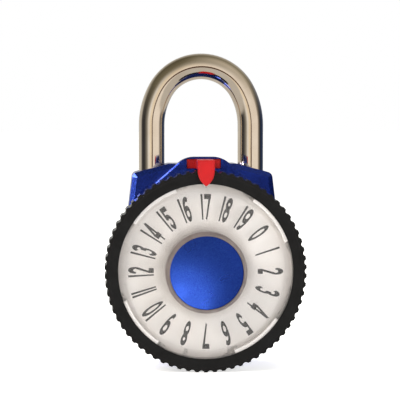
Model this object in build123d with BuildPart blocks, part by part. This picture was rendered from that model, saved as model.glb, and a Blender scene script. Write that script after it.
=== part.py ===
from build123d import *
from math import acos, asin, atan2, cos, degrees, pi, radians, sin, sqrt, tan
import os

# Combination padlock: a drum-shaped case with a shoulder block for the shackle, a knurled dial
# under a magnifying ring, three gated wheels, and a toothed shackle heel that turns a fence.
# Frame: the dial's axis is Y, the front faces -Y, the shackle is up (+Z), and the origin is on
# the dial's axis at the flat back face. A depth is measured from the back face to the front.
# Millimetres.

# ---- overall sizes -----------------------------------------------------------------------
dial_tip_r = 27.0  # the knurled ring, and so half the lock's width
case_r = 25.2
case_wall = 1.6
front_wall = 2.0
rod_r = 3.57  # 9/32 in shackle rod
leg_x = 13.77
bow_top_z = 55.3  # centreline of the bow
bow_side_r = 20.0
bow_top_r = 12.9
lift = 9.5  # travel of the shackle

# ---- clearances --------------------------------------------------------------------------
slip = 0.1  # between parts that are fitted by hand
running = 0.05  # radial, between a journal and its bore
free = 0.3  # between parts that move past each other
bore_clear = 0.3  # shackle rod in the case
plate_clear = 0.33  # between the shackle and the mechanism plate
cover_clear = 0.53  # between the shackle and the rear cover

# ---- layers, from the back ---------------------------------------------------------------
cover_t = 1.4
plate_t = 1.0
rod_depth = cover_t + cover_clear + rod_r
plate_back = rod_depth + rod_r + plate_clear
plate_front = plate_back + plate_t
wheel_t = 1.2
spacer_t = 0.6
clip_t = 0.4
post_tip = 0.2  # of the wheel post in front of its clip
ring_w = 10.0
rear_wheel_back = plate_front + free
spacer_back = rear_wheel_back + wheel_t + slip
middle_wheel_back = spacer_back + spacer_t + slip
post_clip_back = middle_wheel_back + wheel_t + slip
post_end = post_clip_back + clip_t + post_tip
cam_clip_back = post_end + free
cam_back = cam_clip_back + clip_t
cam_front = cam_back + wheel_t
wall_back = cam_front + free
wall_front = wall_back + front_wall
collar_back = 14.0
collar_front = wall_front
ring_back = wall_front + 2 * free
ring_front = ring_back + ring_w

# ---- wheels and fence --------------------------------------------------------------------
wheel_r = 16.6
post_r = 4.0
post_bore_r = 2.3
post_flat = 0.6  # depth of the flat that keeps the spacer from turning
stake_r = 3.0  # post's end, riveted over behind the mechanism plate
stake_head_r = 4.8
stake_head_h = 0.7
spacer_r = 8.0
clip_w = 2.0
clip_groove = 0.6
clip_mouth = 0.85  # of the groove's diameter
fence_standoff = 2.4  # from the wheels' rim to the fence's axis
fence_reach = 3.4
fence_w = 1.0
gate_clear = 0.25
tab_r = 12.8
tab_w = 1.6
false_gates = 11
false_gate_r = 1.1
false_gate_out = 0.35  # from the rim out to a false gate's centre
spoke_count = 6
spoke_r = 2.4
spoke_ring_r = 9.6

# ---- rack and pinion ---------------------------------------------------------------------
module = 0.7
pinion_teeth = 15
pinion_w = 4.0
pressure_angle = radians(20)
rack_addendum = 0.6
tooth_clear = 0.15
backlash = 0.2
pinion_pitch_r = module * pinion_teeth / 2
pinion_tip_r = pinion_pitch_r + module
rack_pitch_r = rod_r - rack_addendum
rack_root_r = rack_pitch_r - module - tooth_clear
tooth_pitch = pi * module
fence_axis_d = wheel_r + fence_standoff
fence_x = -leg_x + rack_pitch_r + pinion_pitch_r
fence_z = sqrt(fence_axis_d**2 - fence_x**2)
fence_turn = degrees(lift / pinion_pitch_r)
fence_to_axis = degrees(atan2(-fence_z, -fence_x))
fence_start = fence_to_axis + fence_turn / 2
rotor_hub_r = 2.0
rotor_pin_r = 1.0

# ---- shackle ends ------------------------------------------------------------------------
toe_z = 17.5
retainer_t = 1.2
neck_r = 2.5
collar_h = 1.4
engaged_half = sqrt(pinion_tip_r**2 - (pinion_pitch_r - rack_addendum) ** 2)
first_groove = round((-engaged_half - lift) / tooth_pitch)
last_groove = round(engaged_half / tooth_pitch)
groove_zs = [fence_z + tooth_pitch * n for n in range(first_groove, last_groove + 1)]
neck_top_z = groove_zs[0]
retainer_z = neck_top_z - free - retainer_t
neck_bottom_z = retainer_z - lift - free
heel_z = neck_bottom_z - collar_h
foot_w = 3.4  # foot of the fork that holds the heel
foot_h = 6.9
foot_t = 1.0
foot_x = -leg_x + rod_r + 2 * free
foot_mid_x = foot_x + foot_w / 2
fork_screw_zs = [retainer_z - foot_h / 2 + step * foot_h / 4 for step in (-1, 1)]

# ---- case details ------------------------------------------------------------------------
shoulder_in = (9.3, 28.4)
shoulder_out = (19.2, 25.8)
shoulder_foot = (20.6, 14.0)
shoulder_corner_r = 1.6
shoulder_bevel = 1.3
collar_slope = 41.0  # from level, of the collar's two sloping edges
collar_edge_r = dial_tip_r - 0.75  # from the dial's axis to those edges
pointer_under = dial_tip_r + free
pointer_top = pointer_under + 2.5
collar_top_z = pointer_top + 0.6
collar_bend_r = 6.5
collar_end_x = 19.8
collar_bevel = 0.35
ledge = 0.6
boss_ring_r = case_r - 5.0
boss_r = 2.2
boss_clear = 1.66  # between the shackle's heel and the boss below it
heel_boss_angle = 180 + degrees(asin((boss_clear + boss_r - heel_z) / boss_ring_r))
cover_boss_angles = (20, 75, heel_boss_angle, 265, 320)
plate_boss_angles = (50, 160, 290)
rivet_r = 1.0
rivet_head_r = 1.9
rivet_l = 6.0
screw_r = 0.8
screw_head_r = 1.6
screw_head_h = 0.8
screw_l = 4.5

# ---- dial --------------------------------------------------------------------------------
rib_count = 70
rib_groove_r = 0.85
rib_depth = 0.5
window_r = 23.4
lens_r = window_r - running
hub_r = 22.0
hub_inset = 0.5  # of the hub's back in the ring
hub_t = 5.0
hub_back = ring_back + hub_inset
hub_front = hub_back + hub_t
disc_t = 1.2
disc_front = hub_front + disc_t
print_gap = 0.5  # between the printed disc and the lens
bezel_r = 10.85
bezel_top_r = 10.05
bezel_t = 0.25  # wall at its front edge
bezel_front = ring_front + 4.6
cap_front = bezel_front + 0.4
lens_under = disc_front + print_gap
lens_sink = 0.4  # of the lens's edge behind the ring's front
lens_edge_front = ring_front - lens_sink
lens_crown = ring_front + 2.0
lens_inner_front = ring_front + 2.6
lug_count = 4
lug_arc = 36
lug_first = 38
lug_depth = 0.9
lug_sink = 0.3  # of a lug's end behind the lens's edge
flange_r = 6.5
flange_t = 1.5
hub_web = 1.2
hub_screw_count = 3
hub_screw_ring_r = 4.6
cap_recess_r = 8.6
cap_skirt_t = 1.2
cap_edge_t = 1.6
cap_dome = 0.8
cap_land_r = 0.8  # flat at the top of the dome
spindle_r = 3.0
tenon_r = 2.6
tail_r = post_bore_r - running
tail_groove = 0.5
bush_r = 4.2
bush_flange_w = 0.8
bush_flange_t = 0.4
washer_w = 2.6
washer_t = 0.25

# ---- pointer -----------------------------------------------------------------------------
pointer_half = 4.6
tongue_half = 2.26
tongue_straight_z = pointer_under - 0.3
tongue_tip_z = window_r - 0.6
tongue_t = 1.4
tongue_bevel = 0.3
tongue_clear = 0.5  # between the dial's front and the tongue
tongue_back = ring_front + tongue_clear
bar_recess = 0.4
pocket_depth = 3.5
pointer_screw_r = 0.5
pointer_head_r = 0.8
pointer_screw_l = 2.0


def layer(depth):
    """Plane at this depth, facing the front, with X to the right and Z up."""
    return Plane.XZ.offset(depth)


def polar(radius, angle):
    return (radius * cos(radians(angle)), radius * sin(radians(angle)))


def places(angles, radius=boss_ring_r):
    return [polar(radius, angle) for angle in angles]


def ring(outer_r, inner_r):
    """Ring in the sketch that is open."""
    Circle(outer_r)
    Circle(inner_r, mode=Mode.SUBTRACT)


def false_gate_places():
    """Places of the shallow notches round a wheel's rim, all of them away from its true gate."""
    step = 360 / (false_gates + 1)
    true_gate = degrees(atan2(fence_z, fence_x))
    angles = [true_gate + step * (n + 1) for n in range(false_gates)]
    return places(angles, wheel_r + false_gate_out)


# ---- front housing -----------------------------------------------------------------------
collar_lean = radians(collar_slope)
collar_bend_x = (collar_edge_r - collar_top_z * cos(collar_lean)) / sin(collar_lean)
collar_end_z = (collar_edge_r - collar_end_x * sin(collar_lean)) / cos(collar_lean)

with BuildPart() as front_housing:
    with BuildSketch(layer(0)):
        with BuildLine():
            Polyline(
                (0, 0),
                shoulder_foot,
                shoulder_out,
                shoulder_in,
                (-shoulder_in[0], shoulder_in[1]),
                (-shoulder_out[0], shoulder_out[1]),
                (-shoulder_foot[0], shoulder_foot[1]),
                close=True,
            )
        make_face()
    extrude(amount=collar_back)
    fillet(front_housing.edges().filter_by(Axis.Y).group_by(Axis.Z)[-2], shoulder_corner_r)
    chamfer(
        front_housing.faces().sort_by(Axis.Y)[0].edges().filter_by_position(
            Axis.Z, shoulder_foot[1] + slip, collar_top_z
        ),
        shoulder_bevel,
    )
    with BuildSketch(layer(0)):
        Circle(case_r)
    extrude(amount=wall_front)
    with BuildSketch(layer(collar_back)):
        with BuildLine():
            edge = FilletPolyline(
                (-collar_end_x, collar_end_z),
                (-collar_bend_x, collar_top_z),
                (collar_bend_x, collar_top_z),
                (collar_end_x, collar_end_z),
                radius=collar_bend_r,
            )
            Polyline(
                edge @ 1,
                shoulder_foot,
                (0, 0),
                (-shoulder_foot[0], shoulder_foot[1]),
                edge @ 0,
            )
        make_face()
    extrude(amount=collar_front - collar_back)
    chamfer(
        front_housing.faces().sort_by(Axis.Y)[0].edges().filter_by_position(
            Axis.Z, collar_end_z, collar_top_z
        ),
        collar_bevel,
    )

    # cavity: recess for the cover, space for shackle and pinion, ledge, space for the wheels
    inner_r = case_r - case_wall
    for start, end, drum_r, pocket_r in (
        (0, cover_t, inner_r + ledge, pinion_tip_r + free + ledge),
        (cover_t, plate_front, inner_r, pinion_tip_r + free),
        (plate_front, wall_back, inner_r - ledge, fence_reach + free),
    ):
        with BuildSketch(layer(start)):
            Circle(drum_r)
            with Locations((fence_x, fence_z)):
                Circle(pocket_r)
        extrude(amount=end - start, mode=Mode.SUBTRACT)

    # bosses for the cover's rivets and the mechanism plate's screws
    for start, angles in ((cover_t, cover_boss_angles), (plate_front, plate_boss_angles)):
        with BuildSketch(layer(start)):
            with Locations(places(angles)):
                Circle(boss_r)
        extrude(amount=wall_back - start)
    with BuildSketch(layer(cover_t)):
        with Locations(places(cover_boss_angles)):
            Circle(rivet_r)
    extrude(amount=rivet_l, mode=Mode.SUBTRACT)
    with BuildSketch(layer(plate_front)):
        with Locations(places(plate_boss_angles)):
            Circle(screw_r)
    extrude(amount=screw_l, mode=Mode.SUBTRACT)

    # bores for the shackle's legs: the heel's runs into the cavity, the toe's is blind
    for x, bottom in ((-leg_x, neck_top_z), (leg_x, toe_z - 2 * free)):
        with BuildSketch(Plane.XY.offset(bottom)):
            with Locations((x, -rod_depth)):
                Circle(rod_r + bore_clear)
        extrude(amount=collar_top_z - bottom, mode=Mode.SUBTRACT)

    # bush hole, blind hole for the fence's pin, pocket for the pointer
    with BuildSketch(layer(wall_back)):
        Circle(bush_r)
    extrude(amount=front_wall, mode=Mode.SUBTRACT)
    with BuildSketch(layer(wall_back)):
        with Locations((fence_x, fence_z)):
            Circle(rotor_pin_r)
    extrude(amount=front_wall / 2, mode=Mode.SUBTRACT)
    with BuildSketch(layer(collar_front - pocket_depth)):
        with Locations((0, (pointer_under + pointer_top) / 2)):
            Rectangle(2 * (pointer_half + slip), pointer_top - pointer_under + 2 * slip)
    extrude(amount=pocket_depth, mode=Mode.SUBTRACT)
    with BuildSketch(layer(collar_back)):
        with Locations((0, (pointer_under + pointer_top) / 2)):
            Circle(pointer_screw_r)
    extrude(amount=collar_front - collar_back - pocket_depth, mode=Mode.SUBTRACT)

# ---- rear cover and its rivets -----------------------------------------------------------
with BuildPart() as rear_cover:
    with BuildSketch(layer(0)):
        Circle(inner_r + ledge - slip)
        with Locations((fence_x, fence_z)):
            Circle(pinion_tip_r + free + ledge - slip)
    extrude(amount=cover_t)
    with Locations(Plane(origin=(0, 0, 0), x_dir=(1, 0, 0), z_dir=(0, 1, 0))):
        with Locations([(x, -z) for x, z in places(cover_boss_angles)]):
            CounterSinkHole(
                radius=rivet_r, counter_sink_radius=rivet_head_r, counter_sink_angle=90
            )
    with BuildSketch(layer(cover_t)):
        with Locations((fence_x, fence_z)):
            Circle(rotor_pin_r)
    extrude(amount=-cover_t / 2, mode=Mode.SUBTRACT)

with BuildPart() as cover_rivets:
    head_h = rivet_head_r - rivet_r
    for x, z in places(cover_boss_angles):
        with BuildSketch(layer(0)) as rivet_face:
            with Locations((x, z)):
                Circle(rivet_head_r)
        with BuildSketch(layer(head_h)) as rivet_neck:
            with Locations((x, z)):
                Circle(rivet_r)
        loft([rivet_face.sketch, rivet_neck.sketch])
        extrude(rivet_neck.sketch, amount=cover_t + rivet_l - head_h)

# ---- mechanism plate ---------------------------------------------------------------------
with BuildPart() as mechanism_plate:
    with BuildSketch(layer(plate_back)):
        Circle(inner_r - slip)
        with Locations(places(cover_boss_angles)):
            Circle(boss_r + slip, mode=Mode.SUBTRACT)
        with Locations(places(plate_boss_angles)):
            Circle(screw_r + slip, mode=Mode.SUBTRACT)
        with Locations((fence_x, fence_z)):
            Circle(rotor_hub_r + slip, mode=Mode.SUBTRACT)
        with Locations([(foot_mid_x, z) for z in fork_screw_zs]):
            Circle(screw_r, mode=Mode.SUBTRACT)
        Circle(stake_r, mode=Mode.SUBTRACT)
    extrude(amount=plate_t)

with BuildPart() as plate_screws:
    for start, radius, height in (
        (plate_back - screw_head_h, screw_head_r, screw_head_h),
        (plate_back, screw_r, plate_t + screw_l),
    ):
        with BuildSketch(layer(start)):
            with Locations(places(plate_boss_angles)):
                Circle(radius)
        extrude(amount=height)

# ---- fork that holds the shackle's heel --------------------------------------------------
with BuildPart() as shackle_retainer:
    with BuildSketch(Plane.XY.offset(retainer_z)):
        with BuildLine():
            Polyline(
                (-leg_x - rod_r, -cover_t - free),
                (foot_x + foot_w, -cover_t - free),
                (foot_x + foot_w, -plate_back),
                (-leg_x - rod_r, -plate_back),
                close=True,
            )
        make_face()
        with Locations((-leg_x, -rod_depth)):
            Circle(neck_r + bore_clear, mode=Mode.SUBTRACT)
        with Locations((-leg_x - rod_r / 2, -rod_depth)):
            Rectangle(rod_r, 2 * (neck_r + bore_clear), mode=Mode.SUBTRACT)
    extrude(amount=retainer_t)
    with BuildSketch(layer(plate_back - foot_t)):
        with Locations((foot_mid_x, retainer_z - foot_h / 2)):
            Rectangle(foot_w, foot_h)
        with Locations([(foot_mid_x, z) for z in fork_screw_zs]):
            Circle(screw_r, mode=Mode.SUBTRACT)
    extrude(amount=foot_t)

with BuildPart() as retainer_screws:
    for start, radius, height in (
        (plate_back - foot_t - screw_head_h, screw_head_r - free, screw_head_h),
        (plate_back - foot_t, screw_r, foot_t + plate_t),
    ):
        with BuildSketch(layer(start)):
            with Locations([(foot_mid_x, z) for z in fork_screw_zs]):
                Circle(radius)
        extrude(amount=height)

# ---- wheel post, spacer and clip ---------------------------------------------------------
flat_x = post_r - post_flat
post_groove_r = post_r - clip_groove

with BuildPart() as wheel_post:
    for start, end, radius in (
        (plate_back - stake_head_h, plate_back, stake_head_r),
        (plate_back, plate_front, stake_r),
        (plate_front, post_clip_back, post_r),
        (post_clip_back, post_clip_back + clip_t, post_groove_r),
        (post_clip_back + clip_t, post_end, post_r),
    ):
        with BuildSketch(layer(start)):
            Circle(radius)
        extrude(amount=end - start)
    with BuildSketch(layer(plate_front)):
        with Locations((flat_x + post_r / 2, 0)):
            Rectangle(post_r, 2 * post_r)
    extrude(amount=post_end - plate_front, mode=Mode.SUBTRACT)
    with BuildSketch(layer(plate_back)):
        Circle(post_bore_r)
    extrude(amount=post_end - plate_back, mode=Mode.SUBTRACT)

with BuildPart() as wheel_spacer:
    with BuildSketch(layer(spacer_back)):
        Circle(spacer_r)
        with BuildSketch(mode=Mode.PRIVATE) as spacer_bore:
            Circle(post_r + running)
            with Locations((flat_x + running + post_r / 2, 0)):
                Rectangle(post_r, 2 * (post_r + slip), mode=Mode.SUBTRACT)
        add(spacer_bore.sketch, mode=Mode.SUBTRACT)
    extrude(amount=spacer_t)


def open_clip(depth, groove_r):
    """E-clip in a shaft's groove, with its mouth to -Z."""
    outer_r = groove_r + clip_w
    with BuildPart() as clip:
        with BuildSketch(layer(depth)):
            ring(outer_r, groove_r)
            with Locations((0, -outer_r / 2)):
                Rectangle(2 * clip_mouth * groove_r, outer_r, mode=Mode.SUBTRACT)
        extrude(amount=clip_t)
    return clip


post_clip = open_clip(post_clip_back, post_groove_r)

# ---- wheels ------------------------------------------------------------------------------
pin_r = tab_w / 2
pin_turn = degrees((tab_w + slip) / tab_r)  # from one pick-up tab to the next


def gated_wheel(depth, bore_r, turn, tabs=(), holes=()):
    """Wheel with its true gate at the fence and shallow false gates round the rest.

    tabs are (depth, height, angle) of the round pick-up tabs that stand on its faces.
    """
    with BuildPart() as wheel:
        with BuildSketch(layer(depth)):
            ring(wheel_r, bore_r)
            with Locations((fence_x, fence_z)):
                Circle(fence_reach + gate_clear, mode=Mode.SUBTRACT)
            with Locations(false_gate_places()):
                Circle(false_gate_r, mode=Mode.SUBTRACT)
            with PolarLocations(spoke_ring_r, spoke_count, start_angle=turn):
                Circle(spoke_r, mode=Mode.SUBTRACT)
            for angle in holes:
                with Locations(polar(tab_r, angle)):
                    Circle(pin_r, mode=Mode.SUBTRACT)
        extrude(amount=wheel_t)
        for start, height, angle in tabs:
            with BuildSketch(layer(start)):
                with Locations(polar(tab_r, angle)):
                    Circle(pin_r)
            extrude(amount=height)
    return wheel


cam_pin_angle = 300
middle_front_angle = cam_pin_angle - pin_turn
middle_rear_angle = 240
rear_front_angle = middle_rear_angle - pin_turn
between_wheels = middle_wheel_back - rear_wheel_back - wheel_t
between_cam = cam_back - middle_wheel_back - wheel_t

rear_wheel = gated_wheel(
    rear_wheel_back,
    post_r + running,
    turn=0,
    tabs=[(rear_wheel_back + wheel_t, between_wheels - slip, rear_front_angle)],
)
middle_wheel = gated_wheel(
    middle_wheel_back,
    post_r + running,
    turn=15,
    tabs=[
        (middle_wheel_back + wheel_t, between_cam - slip, middle_front_angle),
        (middle_wheel_back, slip - between_wheels, middle_rear_angle),
    ],
)
drive_cam = gated_wheel(cam_back, tenon_r, turn=30, holes=[cam_pin_angle])

with BuildPart() as drive_pin:
    with BuildSketch(layer(cam_back - between_cam + slip)):
        with Locations(polar(tab_r, cam_pin_angle)):
            Circle(pin_r)
    extrude(amount=between_cam - slip + wheel_t)

# ---- spindle -----------------------------------------------------------------------------
flange_back = hub_back
cam_groove_r = tail_r - tail_groove
thread_r = screw_r

with BuildPart() as spindle:
    for start, end, radius in (
        (plate_front + free, cam_clip_back, tail_r),
        (cam_clip_back, cam_back, cam_groove_r),
        (cam_back, cam_front, tenon_r),
        (cam_front, flange_back, spindle_r),
        (flange_back, flange_back + flange_t, flange_r),
    ):
        with BuildSketch(layer(start)):
            Circle(radius)
        extrude(amount=end - start)
    with BuildSketch(layer(flange_back)):
        with PolarLocations(hub_screw_ring_r, hub_screw_count, start_angle=90):
            Circle(thread_r)
    extrude(amount=flange_t, mode=Mode.SUBTRACT)

cam_clip = open_clip(cam_clip_back, cam_groove_r)

bush_flange_r = bush_r + bush_flange_w

with BuildPart() as spindle_bush:
    with BuildSketch(layer(wall_back)):
        ring(bush_r, spindle_r + running)
    extrude(amount=front_wall)
    with BuildSketch(layer(wall_front)):
        ring(bush_flange_r, spindle_r + running)
    extrude(amount=bush_flange_t)

# coned washer between the case and the dial
washer_in = bush_flange_r + free
washer_out = washer_in + washer_w
washer_rise = hub_back - wall_front - washer_t - slip

with BuildPart() as dial_spring_washer:
    with BuildSketch(Plane.XY):
        with BuildLine():
            Polyline(
                (washer_in, -wall_front),
                (washer_out, -wall_front - washer_rise),
                (washer_out, -wall_front - washer_rise - washer_t),
                (washer_in, -wall_front - washer_t),
                close=True,
            )
        make_face()
    revolve(axis=Axis.Y)

# ---- dial --------------------------------------------------------------------------------
with BuildPart() as dial_hub:
    with BuildSketch(layer(hub_back)):
        ring(hub_r, flange_r)
    extrude(amount=flange_t)
    with BuildSketch(layer(hub_back + flange_t)):
        Circle(hub_r)
        with PolarLocations(hub_screw_ring_r, hub_screw_count, start_angle=90):
            Circle(thread_r, mode=Mode.SUBTRACT)
    extrude(amount=hub_web)
    with BuildSketch(layer(hub_back + flange_t + hub_web)):
        ring(hub_r, cap_recess_r)
    extrude(amount=hub_front - hub_back - flange_t - hub_web)

with BuildPart() as hub_screws:
    for start, radius, height in (
        (flange_back, thread_r, flange_t + hub_web),
        (hub_back + flange_t + hub_web, screw_head_r, screw_head_h),
    ):
        with BuildSketch(layer(start)):
            with PolarLocations(hub_screw_ring_r, hub_screw_count, start_angle=90):
                Circle(radius)
        extrude(amount=height)

with BuildPart() as grip_ring:
    with BuildSketch(layer(ring_back)):
        ring(dial_tip_r, hub_r)
        with PolarLocations(dial_tip_r - rib_depth + rib_groove_r, rib_count):
            Circle(rib_groove_r, mode=Mode.SUBTRACT)
    extrude(amount=ring_front - ring_back)
    with BuildSketch(layer(hub_front)):
        Circle(window_r)
    extrude(amount=ring_front - hub_front, mode=Mode.SUBTRACT)

lug_angles = [lug_first + n * 360 / lug_count for n in range(lug_count)]
lug_in_r = window_r - lug_depth
lug_end = lens_edge_front - lug_sink


def lug_sketch(spare):
    """Arcs of the window's rim, one for each lug, in the sketch that is open."""
    with BuildSketch(mode=Mode.PRIVATE) as wedges:
        for angle in lug_angles:
            half = lug_arc / 2 + degrees(spare / lug_in_r)
            with BuildLine():
                near = Line((0, 0), polar(2 * window_r, angle - half))
                far = Line(near @ 1, polar(2 * window_r, angle + half))
                Line(far @ 1, near @ 0)
            make_face()
    with BuildSketch(mode=Mode.PRIVATE) as rim:
        ring(lens_r, lug_in_r - spare)
    return rim.sketch & wedges.sketch


with BuildPart() as number_disc:
    with BuildSketch(layer(hub_front)):
        ring(lens_r, cap_recess_r)
    extrude(amount=disc_t)
    with BuildSketch(layer(disc_front)):
        add(lug_sketch(0))
    extrude(amount=lug_end - disc_front)

with BuildPart() as magnifier_lens:
    with BuildSketch(Plane.XY):
        with BuildLine():
            crown_r = (bezel_r + lens_r) / 2
            ThreePointArc(
                (bezel_r + running, -lens_inner_front),
                (crown_r, -lens_crown),
                (lens_r, -lens_edge_front),
            )
            Polyline(
                (lens_r, -lens_edge_front),
                (lens_r, -disc_front),
                (lens_r - 2 * lug_depth, -disc_front),
                (lens_r - 2 * lug_depth, -lens_under),
                (bezel_r + running, -lens_under),
                (bezel_r + running, -lens_inner_front),
            )
        make_face()
    revolve(axis=Axis.Y)
    with BuildSketch(layer(disc_front)):
        add(lug_sketch(slip))
    extrude(amount=lug_end + running - disc_front, mode=Mode.SUBTRACT)

with BuildPart() as bezel_ring:
    with BuildSketch(Plane.XY):
        with BuildLine():
            Polyline(
                (bezel_top_r - bezel_t, -disc_front),
                (bezel_r, -disc_front),
                (bezel_r, -lens_inner_front),
                (bezel_top_r, -bezel_front),
                (bezel_top_r - bezel_t, -bezel_front),
                close=True,
            )
        make_face()
    revolve(axis=Axis.Y)

cap_r = bezel_top_r - bezel_t - running
cap_edge_front = cap_front - cap_dome
dome_r = (cap_r**2 + cap_dome**2) / (2 * cap_dome)
dome_edge_angle = degrees(asin(cap_r / dome_r)) - 90
cap_back = cap_edge_front - cap_edge_t

with BuildPart() as centre_cap:
    with BuildSketch(Plane.XY):
        with BuildLine():
            dome_sweep = degrees(asin(cap_land_r / dome_r)) - 90 - dome_edge_angle
            dome = CenterArc((0, dome_r - cap_front), dome_r, dome_edge_angle, dome_sweep)
            Polyline(
                dome @ 1,
                (0, (dome @ 1).Y),
                (0, -cap_back),
                (cap_r - cap_skirt_t, -cap_back),
                (cap_r - cap_skirt_t, -disc_front),
                (cap_r, -disc_front),
                dome @ 0,
            )
        make_face()
    revolve(axis=Axis.Y)

# ---- pointer and its screw ---------------------------------------------------------------
pointer_mid_z = (pointer_under + pointer_top) / 2
pointer_h = pointer_top - pointer_under
bar_back = collar_front - pocket_depth + slip
tongue_point = tongue_straight_z - tongue_tip_z
ogive_r = (tongue_half**2 + tongue_point**2) / (2 * tongue_half)

with BuildPart() as indicator_pointer:
    with BuildSketch(layer(bar_back)):
        with Locations((0, pointer_mid_z)):
            Rectangle(2 * pointer_half, pointer_h)
    extrude(amount=collar_front - bar_recess - bar_back)
    with BuildSketch(layer(bar_back)):
        with Locations((0, pointer_mid_z)):
            Rectangle(2 * tongue_half, pointer_h)
    extrude(amount=tongue_back + tongue_t - bar_back)
    with BuildSketch(layer(tongue_back)):
        with BuildLine():
            right = Line((tongue_half, pointer_top), (tongue_half, tongue_straight_z))
            RadiusArc(right @ 1, (0, tongue_tip_z), ogive_r)
            RadiusArc((0, tongue_tip_z), (-tongue_half, tongue_straight_z), ogive_r)
            left = Line((-tongue_half, tongue_straight_z), (-tongue_half, pointer_top))
            Line(left @ 1, right @ 0)
        make_face()
    extrude(amount=tongue_t)
    chamfer(indicator_pointer.faces().sort_by(Axis.Y)[0].edges(), length=tongue_bevel)
    with BuildSketch(layer(bar_back)):
        with Locations((0, pointer_mid_z)):
            Circle(pointer_screw_r)
    extrude(amount=pointer_screw_l, mode=Mode.SUBTRACT)

with BuildPart() as pointer_screw:
    for start, end, radius in (
        (collar_back - screw_head_h, collar_back, pointer_head_r),
        (collar_back, bar_back + pointer_screw_l, pointer_screw_r),
    ):
        with BuildSketch(layer(start)):
            with Locations((0, pointer_mid_z)):
                Circle(radius)
        extrude(amount=end - start)

# ---- fence rotor, its pinion and its pin -------------------------------------------------
rotor_back = cover_t + 2 * free
rotor_front = wall_back - free
fence_back = plate_front + free
pinion_back = rod_depth - pinion_w / 2
pinion_root_r = pinion_pitch_r - module - tooth_clear
base_r = pinion_pitch_r * cos(pressure_angle)


def rotor_layer(depth):
    """Plane at this depth with its origin on the fence's axis."""
    return Plane(origin=(fence_x, -depth, fence_z), x_dir=(1, 0, 0), z_dir=(0, -1, 0))


def involute(angle):
    return tan(angle) - angle


def tooth_side(radius, side):
    """Point of a pinion tooth's flank at this radius, on its left or right side."""
    at_pitch = pi / 2 / pinion_teeth - backlash / 2 / pinion_pitch_r
    roll = acos(min(1, base_r / radius))
    half = at_pitch + involute(pressure_angle) - involute(roll)
    return (radius * cos(half), side * radius * sin(half))


with BuildSketch() as tooth:
    with BuildLine():
        low, mid, high = base_r, (base_r + pinion_tip_r) / 2, pinion_tip_r
        flank = ThreePointArc(*[tooth_side(radius, 1) for radius in (low, mid, high)])
        other = ThreePointArc(*[tooth_side(radius, -1) for radius in (high, mid, low)])
        Line(flank @ 1, other @ 0)
        Polyline(other @ 1, (0, 0), flank @ 0)
    make_face()

with BuildPart() as rotor_pinion:
    with BuildSketch(rotor_layer(pinion_back)):
        Circle(pinion_root_r)
        with PolarLocations(0, pinion_teeth, start_angle=180):
            add(tooth.sketch)
        Circle(rotor_hub_r, mode=Mode.SUBTRACT)
    extrude(amount=pinion_w)

with BuildPart() as lock_rotor:
    with BuildSketch(rotor_layer(rotor_back)):
        Circle(rotor_hub_r)
    extrude(amount=rotor_front - rotor_back)
    with BuildSketch(rotor_layer(fence_back)):
        straight = fence_reach - fence_w / 2
        Rectangle(
            straight, fence_w, align=(Align.MIN, Align.CENTER), rotation=fence_start
        )
        with Locations(polar(straight, fence_start)):
            Circle(fence_w / 2)
    extrude(amount=rotor_front - fence_back)
    with BuildSketch(rotor_layer(rotor_back)):
        Circle(rotor_pin_r + running)
    extrude(amount=rotor_front - rotor_back, mode=Mode.SUBTRACT)

with BuildPart() as rotor_pin:
    with BuildSketch(rotor_layer(cover_t / 2)):
        Circle(rotor_pin_r)
    extrude(amount=wall_back + front_wall / 2 - cover_t / 2)

# ---- shackle -----------------------------------------------------------------------------
bow_offset = bow_side_r - leg_x
bow_centre_z = bow_top_z - bow_top_r
bend_z = bow_centre_z - sqrt((bow_side_r - bow_top_r) ** 2 - bow_offset**2)
side_turn = degrees(acos(bow_offset / (bow_side_r - bow_top_r)))
groove_half = tooth_pitch / 4
end_chamfer = 0.6


def groove_half_at(radius):
    return groove_half + (radius - rack_pitch_r) * tan(pressure_angle)


with BuildPart() as shackle:
    with BuildLine(layer(rod_depth)):
        Line((-leg_x, heel_z), (-leg_x, bend_z))
        CenterArc((bow_offset, bend_z), bow_side_r, 180, -side_turn)
        CenterArc((0, bow_centre_z), bow_top_r, 180 - side_turn, 2 * side_turn - 180)
        CenterArc((-bow_offset, bend_z), bow_side_r, side_turn, -side_turn)
        Line((leg_x, bend_z), (leg_x, toe_z))
    with BuildSketch(Plane.XY.offset(heel_z)):
        with Locations((-leg_x, -rod_depth)):
            Circle(rod_r)
    sweep()
    chamfer(shackle.edges().group_by(Axis.Z)[0], length=end_chamfer)
    chamfer(
        shackle.edges().filter_by(GeomType.CIRCLE).filter_by_position(
            Axis.Z, toe_z - slip, toe_z + slip
        ),
        length=end_chamfer,
    )
    with BuildSketch(layer(rod_depth)):
        with BuildLine():
            outside = rod_r + free
            Polyline(
                (neck_r - leg_x, neck_bottom_z),
                (outside - leg_x, neck_bottom_z),
                (outside - leg_x, neck_top_z),
                (neck_r - leg_x, neck_top_z),
                close=True,
            )
        make_face()
        for z in groove_zs:
            with BuildLine():
                Polyline(
                    (rack_root_r - leg_x, z - groove_half_at(rack_root_r)),
                    (outside - leg_x, z - groove_half_at(outside)),
                    (outside - leg_x, z + groove_half_at(outside)),
                    (rack_root_r - leg_x, z + groove_half_at(rack_root_r)),
                    close=True,
                )
            make_face()
    revolve(axis=Axis((-leg_x, -rod_depth, 0), (0, 0, 1)), mode=Mode.SUBTRACT)

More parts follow.
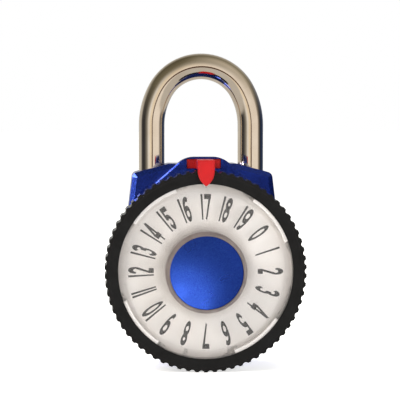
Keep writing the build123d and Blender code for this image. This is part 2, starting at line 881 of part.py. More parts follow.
# ---- write one file for each piece -------------------------------------------------------
pieces = {
    "front_housing": front_housing,
    "rear_cover": rear_cover,
    "cover_rivets": cover_rivets,
    "mechanism_plate": mechanism_plate,
    "plate_screws": plate_screws,
    "shackle_retainer": shackle_retainer,
    "retainer_screws": retainer_screws,
    "wheel_post": wheel_post,
    "wheel_spacer": wheel_spacer,
    "post_clip": post_clip,
    "rear_wheel": rear_wheel,
    "middle_wheel": middle_wheel,
    "drive_cam": drive_cam,
    "drive_pin": drive_pin,
    "cam_clip": cam_clip,
    "spindle": spindle,
    "spindle_bush": spindle_bush,
    "dial_spring_washer": dial_spring_washer,
    "dial_hub": dial_hub,
    "hub_screws": hub_screws,
    "grip_ring": grip_ring,
    "number_disc": number_disc,
    "magnifier_lens": magnifier_lens,
    "bezel_ring": bezel_ring,
    "centre_cap": centre_cap,
    "indicator_pointer": indicator_pointer,
    "pointer_screw": pointer_screw,
    "lock_rotor": lock_rotor,
    "rotor_pinion": rotor_pinion,
    "rotor_pin": rotor_pin,
    "shackle": shackle,
}
os.makedirs("parts", exist_ok=True)
for name, piece in pieces.items():
    piece.part.label = name
    export_step(piece.part, f"parts/{name}.step")
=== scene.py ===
import math
import bmesh
import bpy
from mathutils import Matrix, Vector
from mathutils.geometry import delaunay_2d_cdt


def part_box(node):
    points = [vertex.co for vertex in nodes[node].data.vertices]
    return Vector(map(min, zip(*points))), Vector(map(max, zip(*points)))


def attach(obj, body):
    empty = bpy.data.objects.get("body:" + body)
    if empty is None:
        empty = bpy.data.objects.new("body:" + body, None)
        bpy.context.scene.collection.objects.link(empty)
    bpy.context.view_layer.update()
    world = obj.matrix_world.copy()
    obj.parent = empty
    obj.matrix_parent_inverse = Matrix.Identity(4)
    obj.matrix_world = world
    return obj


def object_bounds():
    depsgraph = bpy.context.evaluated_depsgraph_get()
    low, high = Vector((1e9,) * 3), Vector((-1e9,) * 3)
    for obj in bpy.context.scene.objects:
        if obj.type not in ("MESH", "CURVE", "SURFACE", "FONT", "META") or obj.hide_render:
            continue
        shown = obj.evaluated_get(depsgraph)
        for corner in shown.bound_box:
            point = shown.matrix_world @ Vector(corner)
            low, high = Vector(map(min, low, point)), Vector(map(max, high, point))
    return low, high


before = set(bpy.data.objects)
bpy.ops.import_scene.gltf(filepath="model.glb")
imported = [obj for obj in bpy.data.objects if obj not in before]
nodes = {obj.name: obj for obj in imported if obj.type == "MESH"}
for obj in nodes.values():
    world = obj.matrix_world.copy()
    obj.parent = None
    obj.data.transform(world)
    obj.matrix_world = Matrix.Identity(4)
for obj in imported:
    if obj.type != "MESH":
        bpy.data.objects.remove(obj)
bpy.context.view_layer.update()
mm = 0.001
print("frame loaded,", len(nodes), "nodes")


# an sRGB hex colour as the linear values that a socket takes
def toLinear(hexColour):
    parts = [int(hexColour[i:i + 2], 16) / 255 for i in (1, 3, 5)]
    curve = [p / 12.92 if p <= 0.04045 else ((p + 0.055) / 1.055) ** 2.4 for p in parts]
    return (*curve, 1.0)


# adds one node, sets what it is given, and joins its inputs to other nodes' outputs
def addNode(tree, kind, settings=None, links=None):
    node = tree.nodes.new(kind)
    for name, value in (settings or {}).items():
        if isinstance(name, int) or name in node.inputs:
            node.inputs[name].default_value = value
        else:
            setattr(node, name, value)
    for name, source in (links or {}).items():
        tree.links.new(source, node.inputs[name])
    return node


# an empty material: itself, its tree, its shader and the place on the object
def startMaterial(name, settings):
    material = bpy.data.materials.new(name)
    material.use_nodes = True
    tree = material.node_tree
    tree.nodes.clear()
    shader = addNode(tree, "ShaderNodeBsdfPrincipled", settings)
    addNode(tree, "ShaderNodeOutputMaterial", links={"Surface": shader.outputs["BSDF"]})
    place = addNode(tree, "ShaderNodeTexCoord")
    return material, tree, shader, place.outputs["Object"]


noiseSpread = (0.3, 0.7)  # nearly all of a noise texture's values lie between these


# an uneven pattern with spots about size millimetres across, its values spread from low to high
def addUneven(tree, place, size, low, high, detail=2.0, stretch=None):
    if stretch:
        scaled = addNode(tree, "ShaderNodeMapping", {"Scale": stretch}, {"Vector": place})
        place = scaled.outputs["Vector"]
    noise = addNode(tree, "ShaderNodeTexNoise",
                    {"Scale": 1 / (size * mm), "Detail": detail}, {"Vector": place})
    spread = addNode(tree, "ShaderNodeMapRange",
                     {"From Min": noiseSpread[0], "From Max": noiseSpread[1], "To Min": low, "To Max": high},
                     {"Value": noise.outputs["Fac"]})
    return spread.outputs["Result"]


# 0..1 between two distances from the dial's axis, in millimetres
def addRadius(tree, place, start, end):
    flat = addNode(tree, "ShaderNodeMapping", {"Scale": (1, 0, 1)}, {"Vector": place})
    radius = addNode(tree, "ShaderNodeVectorMath", {"operation": "LENGTH"}, {0: flat.outputs["Vector"]})
    spread = addNode(tree, "ShaderNodeMapRange",
                     {"From Min": start * mm, "From Max": end * mm, "interpolation_type": "SMOOTHSTEP"},
                     {"Value": radius.outputs["Value"]})
    return spread.outputs["Result"]


# a colour that goes from the first tone to the second along a pattern;
# a tone is a hex value or a colour that other nodes have made
def twoTone(tree, pattern, first, second):
    mix = addNode(tree, "ShaderNodeMix", {"data_type": "RGBA"}, {0: pattern})
    for index, tone in ((6, first), (7, second)):
        if isinstance(tone, str):
            mix.inputs[index].default_value = toLinear(tone)
        else:
            tree.links.new(tone, mix.inputs[index])
    return mix.outputs[2]


# a roughness that drifts between two shares of its own value, in spots of the given size
def driftRoughness(tree, place, c, size):
    rough, drift = c["roughness"], c["drift"]
    return addUneven(tree, place, size, rough * drift[0], rough * drift[1])


# joins what was made for a surface to its shader and raises its fine relief, depth in millimetres
def dressSurface(tree, shader, made, relief, depth):
    for name, source in made.items():
        tree.links.new(source, shader.inputs[name])
    bump = addNode(tree, "ShaderNodeBump", {"Distance": depth * mm}, {"Height": relief})
    tree.links.new(bump.outputs["Normal"], shader.inputs["Normal"])


def finishNodes(material, *names):
    for name in names:
        for slot in nodes[name].material_slots:
            slot.material = material


# the case: die-cast zinc, polished, metallic blue lacquer, a deep colour under a thin wet gloss
caseLacquer = {
    "deep": "#16297f", "light": "#2a47b4", "metallic": 0.9, "roughness": 0.2, "drift": (0.85, 1.2),
    "flakeSize": 0.35,  # real flakes are 0.03, too fine to show
    "unevenSize": 6.0, "coat": 0.22, "coatRoughness": 0.04, "peelSize": 1.6, "peelDepth": 0.004,
}


def lacqueredZinc():
    c = caseLacquer
    material, tree, shader, place = startMaterial("zincBlueLacquerCast", {
        "Metallic": c["metallic"], "Coat Weight": c["coat"], "Coat Roughness": c["coatRoughness"]})
    flakes = addUneven(tree, place, c["flakeSize"], 0, 1, detail=1)
    peel = addUneven(tree, place, c["peelSize"], 0, 1)
    dressSurface(tree, shader, {
        "Base Color": twoTone(tree, flakes, c["deep"], c["light"]),
        "Roughness": driftRoughness(tree, place, c, c["unevenSize"])}, peel, c["peelDepth"])
    return material


# the shackle: steel rod, bent, polished and nickel plated, warm bright metal with crisp reflections
shacklePlate = {
    "colour": "#e3d6c5", "cloud": "#dacbb8", "roughness": 0.07, "drift": (0.8, 1.3), "cloudSize": 5.0,
    "driftSize": 2.5, "scuffSize": 0.3, "scuffStretch": (1, 1, 0.12),  # polishing marks run along the legs
    "scuffDepth": 0.0012,
}


def nickelPlate():
    c = shacklePlate
    material, tree, shader, place = startMaterial("steelNickelPlatedPolished", {"Metallic": 1.0})
    cloud = addUneven(tree, place, c["cloudSize"], 0, 1, detail=3)
    scuffs = addUneven(tree, place, c["scuffSize"], 0, 1, stretch=c["scuffStretch"])
    dressSurface(tree, shader, {
        "Base Color": twoTone(tree, cloud, c["colour"], c["cloud"]),
        "Roughness": driftRoughness(tree, place, c, c["driftSize"])}, scuffs, c["scuffDepth"])
    return material


# plates, screws, posts: mild steel, rolled and zinc plated, soft grey metal with a blotchy shine
platedSteel = {
    "colour": "#c3c6ca", "dull": "#b3b6b9", "roughness": 0.3, "drift": (0.8, 1.35), "blotchSize": 5.0,
    "brushSize": 0.12, "brushStretch": (1, 1, 0.05),  # rolling marks run up the plates
    "brushDepth": 0.0012,
}


def zincPlate():
    c = platedSteel
    material, tree, shader, place = startMaterial("steelZincPlatedRolled", {"Metallic": 1.0})
    blotch = addUneven(tree, place, c["blotchSize"], 0, 1, detail=4)
    brushed = addUneven(tree, place, c["brushSize"], 0, 1, stretch=c["brushStretch"])
    dressSurface(tree, shader, {
        "Base Color": twoTone(tree, blotch, c["colour"], c["dull"]),
        "Roughness": driftRoughness(tree, place, c, c["blotchSize"])}, brushed, c["brushDepth"])
    return material


# wheels, bush, pinion: brass sheet, stamped and tumbled, satin yellow metal, darker in patches
wheelBrass = {
    "colour": "#d2ac5a", "aged": "#a9823c", "roughness": 0.32, "drift": (0.8, 1.3), "patchSize": 2.4,
    "driftSize": 1.2, "tumbleSize": 0.2, "tumbleDepth": 0.003,
}


def stampedBrass():
    c = wheelBrass
    material, tree, shader, place = startMaterial("brassStampedTumbled", {"Metallic": 1.0})
    patch = addUneven(tree, place, c["patchSize"], 0, 1, detail=4)
    tumbled = addUneven(tree, place, c["tumbleSize"], 0, 1)
    dressSurface(tree, shader, {
        "Base Color": twoTone(tree, patch, c["colour"], c["aged"]),
        "Roughness": driftRoughness(tree, place, c, c["driftSize"])}, tumbled, c["tumbleDepth"])
    return material


# the grip: ABS, moulded in a spark-eroded tool, black, a fine matt grain that greys in the light
gripPlastic = {
    "colour": "#0c0c0d", "rubbed": "#131314", "ior": 1.53, "specular": 0.22, "roughness": 0.5,
    "drift": (0.85, 1.2), "driftSize": 1.333, "rubSize": 4.0,
    "grainSize": 0.22, "grainDepth": 0.012,  # real grain is 0.08, too fine to show
    "polishedFrom": 25.4, "polishedTo": 26.2,  # distances from the dial's axis
    "polished": 0.24,
}


def mouldedBlack():
    c = gripPlastic
    material, tree, shader, place = startMaterial("absBlackMouldedMatt", {
        "IOR": c["ior"], "Specular IOR Level": c["specular"]})
    rub = addUneven(tree, place, c["rubSize"], 0, 1, detail=3)
    grain = addUneven(tree, place, c["grainSize"], 0, 1)
    # the ribs are worn smooth by fingers, the flat face keeps its grain
    touched = addRadius(tree, place, c["polishedFrom"], c["polishedTo"])
    worn = addNode(tree, "ShaderNodeMix", {3: c["polished"]},
                   {0: touched, 2: driftRoughness(tree, place, c, c["driftSize"])})
    dressSurface(tree, shader, {
        "Base Color": twoTone(tree, rub, c["colour"], c["rubbed"]),
        "Roughness": worn.outputs[0]}, grain, c["grainDepth"])
    return material


# the number disc: ABS, moulded warm white in a polished tool, smooth, with painted shade under the lens's
# edges
discPlastic = {
    # shade and edge are painted shade under the lens's inner and outer edges; lug is a lighter white, a
    # painted highlight on the lugs
    "colour": "#e9e6e3", "shade": "#c8c2bd", "edge": "#cfc9c4", "tint": "#e4dfdb", "lug": "#efecea",
    "ior": 1.53, "roughness": 0.4, "drift": (0.9, 1.1), "driftSize": 3.0, "cloudSize": 9.0,
    "shadeFrom": 10.8, "shadeTo": 14.2, "edgeFrom": 21.2, "edgeTo": 23.2,  # distances from the axis
    "lugFrom": 1.6, "lugTo": 0.8,  # depths behind the lugs' faces
    "grainSize": 0.5, "grainDepth": 0.002,
}


def mouldedWhite():
    c = discPlastic
    material, tree, shader, place = startMaterial("absWhiteMouldedSmooth", {"IOR": c["ior"]})
    body = twoTone(tree, addUneven(tree, place, c["cloudSize"], 0, 1), c["colour"], c["tint"])
    # painted shade towards the centre, under the lens's inner edge
    middle = twoTone(tree, addRadius(tree, place, c["shadeFrom"], c["shadeTo"]), c["shade"], body)
    # painted shade towards the rim, under the lens's outer edge
    rim = twoTone(tree, addRadius(tree, place, c["edgeFrom"], c["edgeTo"]), middle, c["edge"])
    # the lugs stand well in front of the disc's face, so they miss the painted shade and get a lighter
    # white, a painted highlight
    parts = addNode(tree, "ShaderNodeSeparateXYZ", links={0: place})
    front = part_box("number_disc")[0].y
    lugs = addNode(tree, "ShaderNodeMapRange",
                   {"From Min": front + c["lugFrom"] * mm, "From Max": front + c["lugTo"] * mm},
                   {"Value": parts.outputs["Y"]})
    dressSurface(tree, shader, {
        "Base Color": twoTone(tree, lugs.outputs["Result"], rim, c["lug"]),
        "Roughness": driftRoughness(tree, place, c, c["driftSize"])},
        addUneven(tree, place, c["grainSize"], 0, 1), c["grainDepth"])
    return material


# the lens: clear acrylic, injection moulded, nearly invisible face on and glossy where it curves, with a
# painted white sheen;
# its gloss is thinned by alpha, so its ior is above the 1.49 of real acrylic to bring the shine back
lensAcrylic = {
    # colour is the white of the painted sheen, shown through alpha
    "colour": "#f6f3f0", "alpha": 0.07, "edgeAlpha": 0.55, "edgeBlend": 0.3, "edgeStart": 0.1,
    "ior": 2.0, "roughness": 0.04, "drift": (0.7, 1.4), "coat": 1.0, "flowSize": 4.0, "flowDepth": 0.004,
}


def clearAcrylic():
    c = lensAcrylic
    material, tree, shader, place = startMaterial("acrylicClearPolished", {
        "Base Color": toLinear(c["colour"]), "IOR": c["ior"],
        "Coat Weight": c["coat"], "Coat Roughness": c["roughness"]})
    # clear face on; where it is seen from the side its white colour shows more, a painted sheen beside its
    # gloss
    facing = addNode(tree, "ShaderNodeLayerWeight", {"Blend": c["edgeBlend"]})
    paintedSheenVeil = addNode(tree, "ShaderNodeMapRange",
                   {"From Min": c["edgeStart"], "To Min": c["alpha"], "To Max": c["edgeAlpha"]},
                   {"Value": facing.outputs["Facing"]})
    flow = addUneven(tree, place, c["flowSize"], 0, 1)
    dressSurface(tree, shader, {
        "Alpha": paintedSheenVeil.outputs["Result"],
        "Roughness": driftRoughness(tree, place, c, c["flowSize"])}, flow, c["flowDepth"])
    return material


# the bezel: aluminium, turned and satin coated grey, a soft even shine with fine turning rings
bezelCoat = {
    "colour": "#8f8481", "dull": "#7b7170", "metallic": 0.55, "roughness": 0.36, "drift": (0.85, 1.2),
    "patchSize": 3.0, "ringStep": 0.18, "ringWobble": 0.4, "ringDepth": 0.004,
}
waveStep = math.pi / 10  # a wave texture of scale 1 repeats after this length


def satinGrey():
    c = bezelCoat
    material, tree, shader, place = startMaterial("aluminiumSatinCoatedGrey", {"Metallic": c["metallic"]})
    patch = addUneven(tree, place, c["patchSize"], 0, 1)
    rings = addNode(tree, "ShaderNodeTexWave", {
        "wave_type": "RINGS", "rings_direction": "Y", "Scale": waveStep / (c["ringStep"] * mm),
        "Distortion": c["ringWobble"]}, {"Vector": place})
    dressSurface(tree, shader, {
        "Base Color": twoTone(tree, patch, c["colour"], c["dull"]),
        "Roughness": driftRoughness(tree, place, c, c["patchSize"])}, rings.outputs["Fac"], c["ringDepth"])
    return material


# the centre cap: aluminium, bead blasted and blue anodised, satin colour with a sparkling grain
capAnodise = {
    "colour": "#1a2f86", "grain": "#2a4ba6", "roughness": 0.3, "drift": (0.85, 1.15), "cloudSize": 5.0,
    "grainSize": 0.22, "grainDepth": 0.012,  # real blasting leaves 0.1, too fine to show
}


def anodisedBlue():
    c = capAnodise
    material, tree, shader, place = startMaterial("aluminiumBlueAnodisedBlasted", {"Metallic": 1.0})
    grain = addUneven(tree, place, c["grainSize"], 0, 1, detail=3)
    dressSurface(tree, shader, {
        "Base Color": twoTone(tree, grain, c["colour"], c["grain"]),
        "Roughness": driftRoughness(tree, place, c, c["cloudSize"])}, grain, c["grainDepth"])
    return material


# the pointer: ABS, moulded red, a strong even colour, semi-gloss
pointerPlastic = {
    "colour": "#b3191c", "cloud": "#aa161a", "ior": 1.53, "specular": 0.22, "roughness": 0.32,
    "drift": (0.85, 1.2), "cloudSize": 2.5, "grainSize": 0.4, "grainDepth": 0.003,
}


def mouldedRed():
    c = pointerPlastic
    material, tree, shader, place = startMaterial("absRedMouldedGloss", {
        "IOR": c["ior"], "Specular IOR Level": c["specular"]})
    cloud = addUneven(tree, place, c["cloudSize"], 0, 1)
    grain = addUneven(tree, place, c["grainSize"], 0, 1)
    dressSurface(tree, shader, {
        "Base Color": twoTone(tree, cloud, c["colour"], c["cloud"]),
        "Roughness": driftRoughness(tree, place, c, c["cloudSize"])}, grain, c["grainDepth"])
    return material


finishNodes(lacqueredZinc(), "front_housing")
finishNodes(nickelPlate(), "shackle", "cover_rivets")
finishNodes(zincPlate(), "rear_cover", "mechanism_plate", "plate_screws", "shackle_retainer",
            "retainer_screws", "wheel_post", "post_clip", "dial_spring_washer", "pointer_screw",
            "rotor_pin", "hub_screws", "spindle", "drive_pin", "cam_clip", "lock_rotor")
finishNodes(stampedBrass(), "wheel_spacer", "spindle_bush", "drive_cam", "middle_wheel", "rear_wheel",
            "rotor_pinion")
finishNodes(mouldedBlack(), "grip_ring", "dial_hub")
finishNodes(mouldedWhite(), "number_disc")
finishNodes(clearAcrylic(), "magnifier_lens")
finishNodes(satinGrey(), "bezel_ring")
finishNodes(anodisedBlue(), "centre_cap")
finishNodes(mouldedRed(), "indicator_pointer")
print("CAD nodes finished")

# the printed numbers, at the size that they have through the magnifying lens; they stand level
# with the faces of the disc's lugs, so they are inside the lens and not on the disc's own face
numerals = {
    "count": 20, "underPointer": 17, "innerR": 13.9, "outerR": 20.75, "digitWidth": 1.68, "barWidth": 0.46,
    "gap": 0.32, "inkThickness": 0.02, "inkGap": 0.004,  # from the lugs' plane to the ink's back
    "ink": "#121112", "worn": "#262526", "ior": 1.5, "roughness": 0.6, "speckSize": 0.5, "inkDepth": 0.004,
}
# each figure's strokes in a box 1 wide and 1.35 high, before the print is drawn out lengthwise:
# a bend is (centre x, centre y, across, up, from degrees, to degrees), a line is a pair of points;
# a stroke whose ends are within "closed" is a loop, and corners within "melted" become one
figureBox = {"width": 1.0, "height": 1.35, "stroke": 0.27, "steps": 14, "closed": 1e-6, "melted": 1e-5}
figureStrokes = {
    "0": [(0.5, 0.675, 0.365, 0.54, 0, 360)],
    "2": [(0.5, 0.96, 0.36, 0.255, 185, -42), ((0.765, 0.80), (0.17, 0.14)), ((0.05, 0.135), (0.97, 0.135))],
    "3": [(0.47, 0.985, 0.33, 0.235, 165, -95), (0.47, 0.44, 0.37, 0.31, 95, -165)],
    "4": [((0.70, 1.35), (0.10, 0.42)), ((0.0, 0.42), (1.0, 0.42)), ((0.70, 1.35), (0.70, 0.0))],
    "5": [((0.14, 1.215), (0.93, 1.215)), ((0.24, 1.3), (0.17, 0.62)),
          (0.47, 0.455, 0.375, 0.325, 138, -162)],
    "6": [(0.5, 0.44, 0.365, 0.31, 0, 360), (0.62, 0.62, 0.485, 0.60, 196, 62)],
    "7": [((0.02, 1.215), (0.97, 1.215)), ((0.83, 1.25), (0.40, 0.0))],
    "8": [(0.5, 0.99, 0.30, 0.23, 0, 360), (0.5, 0.41, 0.365, 0.28, 0, 360)],
}


# epoxy ink, pad printed: dense dark grey, matt, a little thin in places
def printedInk():
    c = numerals
    material, tree, shader, place = startMaterial("epoxyInkPrinted", {
        "IOR": c["ior"], "Roughness": c["roughness"]})
    specks = addUneven(tree, place, c["speckSize"], 0, 1, detail=3)
    dressSurface(tree, shader, {
        "Base Color": twoTone(tree, specks, c["ink"], c["worn"])}, specks, c["inkDepth"])
    return material


# points along one stroke
def strokeLine(stroke):
    if len(stroke) == 2:
        return [Vector(p) for p in stroke]
    x, y, across, up, start, end = stroke
    steps = figureBox["steps"]
    turns = [math.radians(start + (end - start) * i / steps) for i in range(steps + 1)]
    return [Vector((x + across * math.cos(t), y + up * math.sin(t))) for t in turns]


# one figure as corners and triangles in a box 0..1 by 0..1, its strokes melted together
def figureShape(figure):
    if figure == "1":  # a plain bar
        return [Vector(p) for p in ((0, 0), (1, 0), (1, 1), (0, 1))], [(0, 1, 2), (0, 2, 3)]
    corners, patches = [], []
    for stroke in figureStrokes["6" if figure == "9" else figure]:
        line = strokeLine(stroke)
        closed = (line[0] - line[-1]).length < figureBox["closed"]
        for i, point in enumerate(line):
            before = line[i - 1] if i else (line[-2] if closed else point)
            after = line[i + 1] if i + 1 < len(line) else (line[1] if closed else point)
            ahead = (after - before).normalized()
            side = Vector((-ahead.y, ahead.x)) * figureBox["stroke"] / 2
            corners += [point + side, point - side]
            if i:
                last = len(corners)
                patches.append((last - 4, last - 3, last - 1, last - 2))
    points, _, faces, _, _, sources = delaunay_2d_cdt(corners, [], patches, 0, figureBox["melted"])
    scaled = [Vector((p.x / figureBox["width"], p.y / figureBox["height"])) for p in points]
    if figure == "9":  # a 6 turned round
        scaled = [Vector((1 - p.x, 1 - p.y)) for p in scaled]
    return scaled, [f for f, source in zip(faces, sources) if source]


def printNumerals():
    c = numerals
    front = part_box("number_disc")[0].y
    middleR = (c["innerR"] + c["outerR"]) / 2
    figures = {str(n): figureShape(str(n)) for n in range(10)}
    built = bmesh.new()
    for number in range(c["count"]):
        label = str(number)
        widths = [c["barWidth"] if f == "1" else c["digitWidth"] for f in label]
        left = -(sum(widths) + c["gap"] * (len(label) - 1)) / 2
        turn = math.tau * (c["underPointer"] - number) / c["count"] + math.pi / 2
        for figure, width in zip(label, widths):
            points, faces = figures[figure]
            corners = []
            for p in points:
                # the print fans out from the centre, so its width grows with the radius
                angle = turn - (left + p.x * width) / middleR
                r = (c["innerR"] + p.y * (c["outerR"] - c["innerR"])) * mm
                corners.append(built.verts.new(
                    (r * math.cos(angle), front - c["inkThickness"] * mm, r * math.sin(angle))))
            for face in faces:
                built.faces.new([corners[i] for i in face])
            left += width + c["gap"]
    bmesh.ops.delete(built, geom=[v for v in built.verts if not v.link_faces], context="VERTS")
    bmesh.ops.recalc_face_normals(built, faces=built.faces)
    bmesh.ops.reverse_faces(built, faces=[f for f in built.faces if f.normal.y > 0])
    backs = bmesh.ops.extrude_face_region(built, geom=list(built.faces))
    bmesh.ops.translate(built, vec=(0, (c["inkThickness"] - c["inkGap"]) * mm, 0),
                        verts=[g for g in backs["geom"] if isinstance(g, bmesh.types.BMVert)])
    bmesh.ops.recalc_face_normals(built, faces=built.faces)
    mesh = bpy.data.meshes.new("dial_numerals")
    built.to_mesh(mesh)
    built.free()
    mesh.materials.append(printedInk())
    piece = bpy.data.objects.new("dial_numerals", mesh)
    bpy.context.scene.collection.objects.link(piece)
    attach(piece, "dial")


printNumerals()
print("numerals printed")

# the floor and what stands round it: a glowing white table in a white tent
studio = {
    "floorSize": 16.0, "floorSquares": 8, "floor": "#f5f5f4", "floorGlow": 0.7, "floorGrain": 40.0,
    "roughness": 0.6, "drift": (1.0, 1.2),
    "backdrop": "#ffffff", "fill": "#fdfaf6", "fillStrength": 0.5,
    # what a polished side sees, by the compass round the object: 0 is towards the viewer, -90 the left
    "around": [(-180, "#c4c4c0"), (-150, "#d7d7d2"), (-114, "#d0cfca"), (-98, "#4a4a4e"), (-72, "#333336"),
               (-56, "#6b6a68"), (-42, "#a5a39c"), (-28, "#ffffff"), (-10, "#fff3dc"), (10, "#fffaf4"),
               (62, "#fffaf4"), (76, "#8f8781"), (90, "#3a3e40"), (104, "#26314e"), (142, "#3e4f70"),
               (156, "#a8acb5"), (180, "#c4c4c0")],
    # and overhead on the left and on the right, by the angle from straight ahead
    "overheadLeft": [(0, "#b0ada6"), (30, "#a5a196"), (60, "#77725f"), (110, "#5e5a48"), (150, "#c8c6c0"),
                     (180, "#d0d0d0")],
    "overheadRight": [(0, "#b0ada6"), (30, "#c4c0b6"), (70, "#cbc5b8"), (105, "#8a8674"), (150, "#c8c6c0"),
                      (180, "#d0d0d0")],
    # overhead fades in between these degrees of rise, and left fades to right between these x
    "overheadFrom": 0, "overheadTo": 40, "sideFrom": -0.35, "sideTo": 0.55,
    "table": "#cfcdc9", "tableFrom": -8, "tableTo": -14,
    # the dim patch that flat front faces mirror, in degrees from its middle
    "dim": "#5c4438", "dimCore": 4.5, "dimEdge": 8.0,
}
# a long lens, a little above the dial and to its left
shot = {
    "azimuth": -3.3, "elevation": 4.9, "distance": 0.48, "lens": 162, "sensor": 36,
    "aimUp": 19.15, "aimLeft": 1.6,
}


def pourFloor():
    c = studio
    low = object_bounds()[0].z
    mesh = bpy.data.meshes.new("studio_floor")
    built = bmesh.new()
    bmesh.ops.create_grid(built, x_segments=c["floorSquares"], y_segments=c["floorSquares"],
                          size=c["floorSize"] / 2)
    built.to_mesh(mesh)
    built.free()
    piece = bpy.data.objects.new("studio_floor", mesh)
    piece.location.z = low
    bpy.context.scene.collection.objects.link(piece)
    piece.visible_glossy = False
    material, tree, shader, place = startMaterial("acrylicBoardGlowing", {
        "Base Color": toLinear(c["floor"]), "Emission Color": toLinear(c["floor"]),
        "Emission Strength": c["floorGlow"]})
    tree.links.new(driftRoughness(tree, place, c, c["floorGrain"]), shader.inputs["Roughness"])
    mesh.materials.append(material)


halfTurn = 180


# a white tent with dark flags, which only show in reflections
def lightTent():
    c = studio
    world = bpy.data.worlds.new("lightTent")
    bpy.context.scene.world = world
    world.use_nodes = True
    tree = world.node_tree
    tree.nodes.clear()
    way = addNode(tree, "ShaderNodeTexCoord")
    parts = addNode(tree, "ShaderNodeSeparateXYZ", links={0: way.outputs["Generated"]})
    ahead = addNode(tree, "ShaderNodeMath", {"operation": "MULTIPLY", 1: -1.0}, {0: parts.outputs["Y"]})
    compass = addNode(tree, "ShaderNodeMath", {"operation": "ARCTAN2"},
                      {0: parts.outputs["X"], 1: ahead.outputs[0]})
    fromAhead = addNode(tree, "ShaderNodeMath", {"operation": "ARCCOSINE"}, {0: ahead.outputs[0]})
    rise = addNode(tree, "ShaderNodeMath", {"operation": "ARCSINE"}, {0: parts.outputs["Z"]})

    # tones along an angle, from its lowest degrees up to half a turn
    def tonesAlong(stops, angle, low):
        turned = addNode(tree, "ShaderNodeMapRange",
                         {"From Min": math.radians(low), "From Max": math.pi}, {"Value": angle})
        ramp = addNode(tree, "ShaderNodeValToRGB", links={"Fac": turned.outputs["Result"]})
        made = ramp.color_ramp.elements
        while len(made) < len(stops):
            made.new(1.0)
        for stop, (degrees, colour) in zip(made, stops):
            stop.position = (degrees - low) / (halfTurn - low)
            stop.color = toLinear(colour)
        return ramp.outputs["Color"]

    high = addNode(tree, "ShaderNodeMapRange", {
        "From Min": math.radians(c["overheadFrom"]), "From Max": math.radians(c["overheadTo"]),
        "interpolation_type": "SMOOTHSTEP"}, {"Value": rise.outputs[0]})
    across = addNode(tree, "ShaderNodeMapRange", {
        "From Min": c["sideFrom"], "From Max": c["sideTo"], "interpolation_type": "SMOOTHSTEP"},
        {"Value": parts.outputs["X"]})
    overhead = twoTone(tree, across.outputs["Result"],
                       tonesAlong(c["overheadLeft"], fromAhead.outputs[0], 0),
                       tonesAlong(c["overheadRight"], fromAhead.outputs[0], 0))
    around = tonesAlong(c["around"], compass.outputs[0], -halfTurn)
    tent = twoTone(tree, high.outputs["Result"], around, overhead)
    low = addNode(tree, "ShaderNodeMapRange", {
        "From Min": math.radians(c["tableFrom"]), "From Max": math.radians(c["tableTo"]),
        "interpolation_type": "SMOOTHSTEP"}, {"Value": rise.outputs[0]})
    tent = twoTone(tree, low.outputs["Result"], tent, c["table"])
    side, lift = math.radians(-shot["azimuth"]), math.radians(-shot["elevation"])
    towards = (math.sin(side) * math.cos(lift), -math.cos(side) * math.cos(lift), math.sin(lift))
    aside = addNode(tree, "ShaderNodeVectorMath", {"operation": "DOT_PRODUCT", 1: towards},
                    {0: way.outputs["Generated"]})
    dim = addNode(tree, "ShaderNodeMapRange", {
        "From Min": math.cos(math.radians(c["dimEdge"])), "From Max": math.cos(math.radians(c["dimCore"])),
        "interpolation_type": "SMOOTHSTEP"}, {"Value": aside.outputs["Value"]})
    tent = twoTone(tree, dim.outputs["Result"], tent, c["dim"])
    # glossy rays see the tent, the camera sees the backdrop, all other rays see an even fill
    seen = addNode(tree, "ShaderNodeBackground", links={"Color": tent})
    fill = addNode(tree, "ShaderNodeBackground",
                   {"Color": toLinear(c["fill"]), "Strength": c["fillStrength"]})
    plain = addNode(tree, "ShaderNodeBackground", {"Color": toLinear(c["backdrop"])})
    ray = addNode(tree, "ShaderNodeLightPath")
    lit = addNode(tree, "ShaderNodeMixShader", links={
        0: ray.outputs["Is Glossy Ray"], 1: fill.outputs[0], 2: seen.outputs[0]})
    whole = addNode(tree, "ShaderNodeMixShader", links={
        0: ray.outputs["Is Camera Ray"], 1: lit.outputs[0], 2: plain.outputs[0]})
    addNode(tree, "ShaderNodeOutputWorld", links={"Surface": whole.outputs[0]})


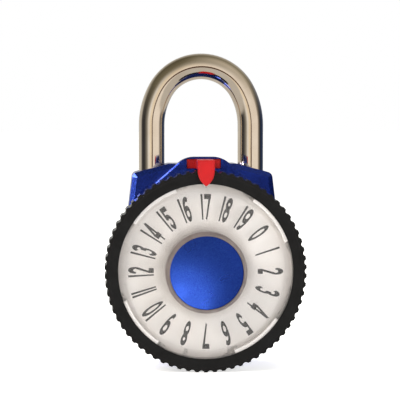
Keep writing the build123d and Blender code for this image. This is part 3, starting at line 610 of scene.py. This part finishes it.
# a softbox with "mirrored" is also seen in the gloss of the nodes it names, and lights only those
softboxes = {
    "keyLeft": {"place": (-0.55, -0.45, 0.55), "size": 0.45, "watts": 6.0, "colour": "#fff8f0"},
    "fillRight": {"place": (0.60, -0.55, 0.25), "size": 0.5, "watts": 2.5, "colour": "#f6f8ff"},
    "topBack": {"place": (0.0, 0.35, 0.70), "size": 0.5, "watts": 3.5, "colour": "#ffffff"},
    "rimLeft": {"place": (-0.80, -0.05, 0.45), "size": 0.7, "watts": 17.0, "colour": "#fff6e4",
                "mirrored": ("front_housing",)},
    "capLow": {"place": (-0.13, -0.86, -0.27), "size": 0.38, "watts": 2.7, "colour": "#fff4e4",
               "mirrored": ("centre_cap",)},
}


def hangSoftboxes():
    for name, c in softboxes.items():
        light = bpy.data.lights.new(name, "AREA")
        light.shape = "SQUARE"
        light.size = c["size"]
        light.energy = c["watts"]
        light.color = toLinear(c["colour"])[:3]
        lamp = bpy.data.objects.new(name, light)
        lamp.location = c["place"]
        lamp.rotation_euler = (-Vector(c["place"])).to_track_quat("-Z", "Y").to_euler()
        lamp.visible_camera = False
        lamp.visible_glossy = "mirrored" in c
        if "mirrored" in c:
            lit = bpy.data.collections.new(name)
            for node in c["mirrored"]:
                lit.objects.link(nodes[node])
            lamp.light_linking.receiver_collection = lit
        bpy.context.scene.collection.objects.link(lamp)


def placeCamera():
    c = shot
    turn, rise = math.radians(c["azimuth"]), math.radians(c["elevation"])
    back = Vector((math.sin(turn) * math.cos(rise), -math.cos(turn) * math.cos(rise), math.sin(rise)))
    right = Vector((math.cos(turn), math.sin(turn), 0))
    up = right.cross(-back)
    dialCentre = Vector((0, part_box("grip_ring")[0].y, 0))
    camera = bpy.data.cameras.new("shot")
    camera.lens = c["lens"]
    camera.sensor_width = c["sensor"]
    piece = bpy.data.objects.new("shot", camera)
    piece.location = dialCentre + back * c["distance"]
    aim = dialCentre + up * c["aimUp"] * mm - right * c["aimLeft"] * mm
    piece.rotation_euler = (aim - piece.location).to_track_quat("-Z", "Y").to_euler()
    bpy.context.scene.collection.objects.link(piece)
    bpy.context.scene.camera = piece


pourFloor()
lightTent()
hangSoftboxes()
placeCamera()
bpy.context.scene.view_settings.view_transform = "Standard"
print("studio set up")
